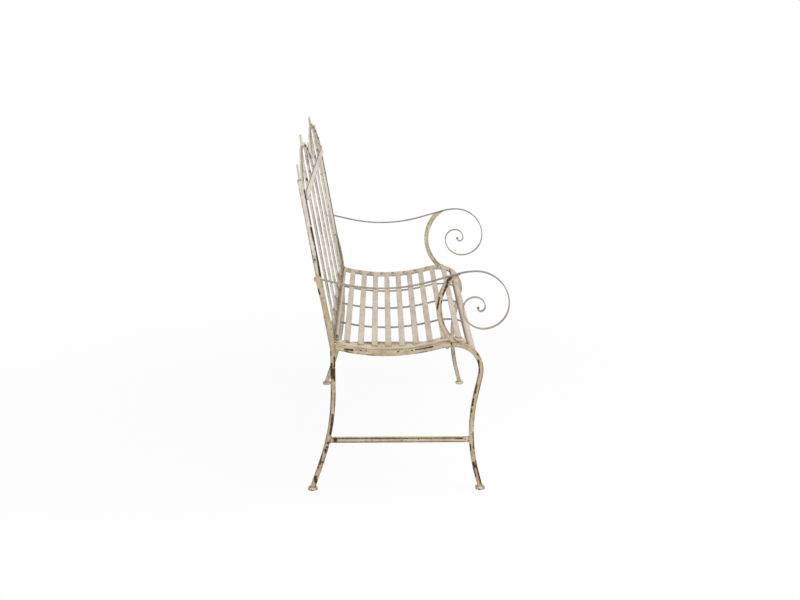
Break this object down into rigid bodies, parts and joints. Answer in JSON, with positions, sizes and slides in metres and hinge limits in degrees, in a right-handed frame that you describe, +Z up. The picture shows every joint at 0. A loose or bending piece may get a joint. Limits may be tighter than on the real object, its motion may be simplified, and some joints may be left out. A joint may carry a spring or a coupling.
{
  "type": "garden bench",
  "caption": "Cream-painted metal garden bench with a dipped slatted seat, scrolled strip arms and a leaning back of thin bars under two arches",
  "frame": {"origin": "on the floor, below the middle of the bench's bounding box", "axes": "+X along the bench towards the sitter's left, -Y to the front, +Z up"},
  "size_m": [1.049, 0.6048, 1.0104],
  "materials": {
    "frame_paint": "chipped matt paint",
    "seat_paint": "worn matt paint",
    "back_paint": "chipped matt paint",
    "foot_paint": "worn matt paint",
    "rod_paint": "dark worn paint",
    "fastener_paint": "worn matt paint"
  },
  "bodies": {
    "root": {"rear_leg_right": "frame_paint", "front_leg_right": "frame_paint", "stretcher_right": "frame_paint", "seat_side_bar_right": "frame_paint", "arm_right": "frame_paint", "arm_support_right": "frame_paint", "seat_end_plate_right": "seat_paint", "foot_rear_right": "foot_paint", "foot_front_right": "foot_paint", "back_upright_right": "back_paint", "back_arch_right": "back_paint", "rear_leg_left": "frame_paint", "front_leg_left": "frame_paint", "stretcher_left": "frame_paint", "seat_side_bar_left": "frame_paint", "arm_left": "frame_paint", "arm_support_left": "frame_paint", "seat_end_plate_left": "seat_paint", "foot_rear_left": "foot_paint", "foot_front_left": "foot_paint", "back_upright_left": "back_paint", "back_arch_left": "back_paint", "seat_slat_rear": "seat_paint", "seat_slat_01": "seat_paint", "seat_slat_02": "seat_paint", "seat_slat_03": "seat_paint", "seat_slat_04": "seat_paint", "seat_slat_05": "seat_paint", "seat_slat_06": "seat_paint", "seat_slat_07": "seat_paint", "seat_slat_08": "seat_paint", "seat_slat_09": "seat_paint", "seat_front_bar": "seat_paint", "seat_cross_rod_1": "rod_paint", "seat_cross_rod_2": "rod_paint", "seat_cross_rod_3": "rod_paint", "back_bottom_rail": "back_paint", "back_band": "back_paint", "back_bar_1": "back_paint", "back_bar_2": "back_paint", "back_bar_3": "back_paint", "back_bar_4": "back_paint", "back_bar_5": "back_paint", "finial_upright_right": "back_paint", "finial_apex_right": "back_paint", "finial_middle": "back_paint", "finial_apex_left": "back_paint", "finial_upright_left": "back_paint", "back_bolts": "fastener_paint", "back_cap_nuts": "fastener_paint"}
  },
  "joints": []
}
